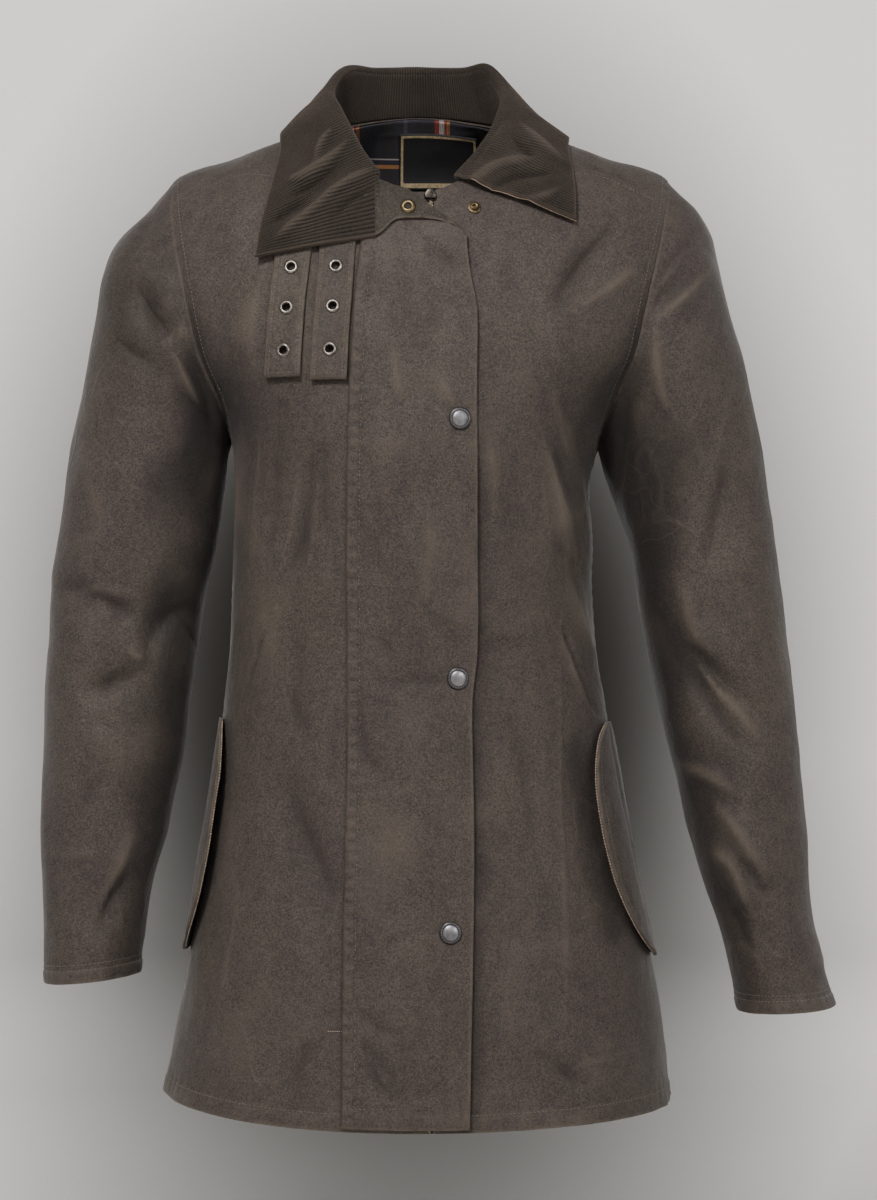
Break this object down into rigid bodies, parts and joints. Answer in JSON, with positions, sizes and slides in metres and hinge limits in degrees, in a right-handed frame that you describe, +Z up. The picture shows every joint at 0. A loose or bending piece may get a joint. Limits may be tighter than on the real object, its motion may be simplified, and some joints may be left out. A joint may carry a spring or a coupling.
{
  "type": "waxed cotton jacket",
  "caption": "Hip-length fitted waxed cotton jacket in worn shape, with an open turned-down corduroy collar, storm placket, throat straps with eyelets and slanted flap pockets.",
  "frame": {"origin": "middle of the neck base, level with the tops of the shoulders, where the wearer's shoulders hold the jacket up", "axes": "+Z up, the front faces -Y, the wearer's left is +X"},
  "size_m": [0.6299, 0.2933, 0.8409],
  "materials": {
    "wax_cotton": "waxed, dull sheen",
    "facing_cotton": "plain cotton, matt",
    "corduroy": "fine corduroy, matt",
    "tartan_lining": "woven cotton check, matt",
    "label_satin": "woven satin",
    "gunmetal": "gunmetal plated",
    "aged_brass": "aged",
    "nickel": "nickel plated, dull",
    "zip_teeth": "dark metal teeth"
  },
  "bodies": {
    "root": {"back": "wax_cotton", "front_right": "wax_cotton", "front_left": "wax_cotton", "sleeve_right": "wax_cotton", "sleeve_left": "wax_cotton", "collar": "corduroy", "collar_stand": "corduroy", "storm_placket": "wax_cotton", "turned_corner": "facing_cotton", "strap_outer": "wax_cotton", "strap_inner": "wax_cotton", "strap_outer_eyelet_1": "nickel", "strap_outer_eyelet_2": "nickel", "strap_outer_eyelet_3": "nickel", "strap_inner_eyelet_1": "nickel", "strap_inner_eyelet_2": "nickel", "strap_inner_eyelet_3": "nickel", "snap_cap_1": "gunmetal", "snap_cap_2": "gunmetal", "snap_cap_3": "gunmetal", "neck_snap_socket": "aged_brass", "neck_snap_stud": "aged_brass", "zip_chain": "zip_teeth", "zip_slider": "nickel", "pocket_flap_right": "wax_cotton", "pocket_flap_left": "wax_cotton", "neck_lining": "tartan_lining", "neck_label": "label_satin"}
  },
  "joints": []
}
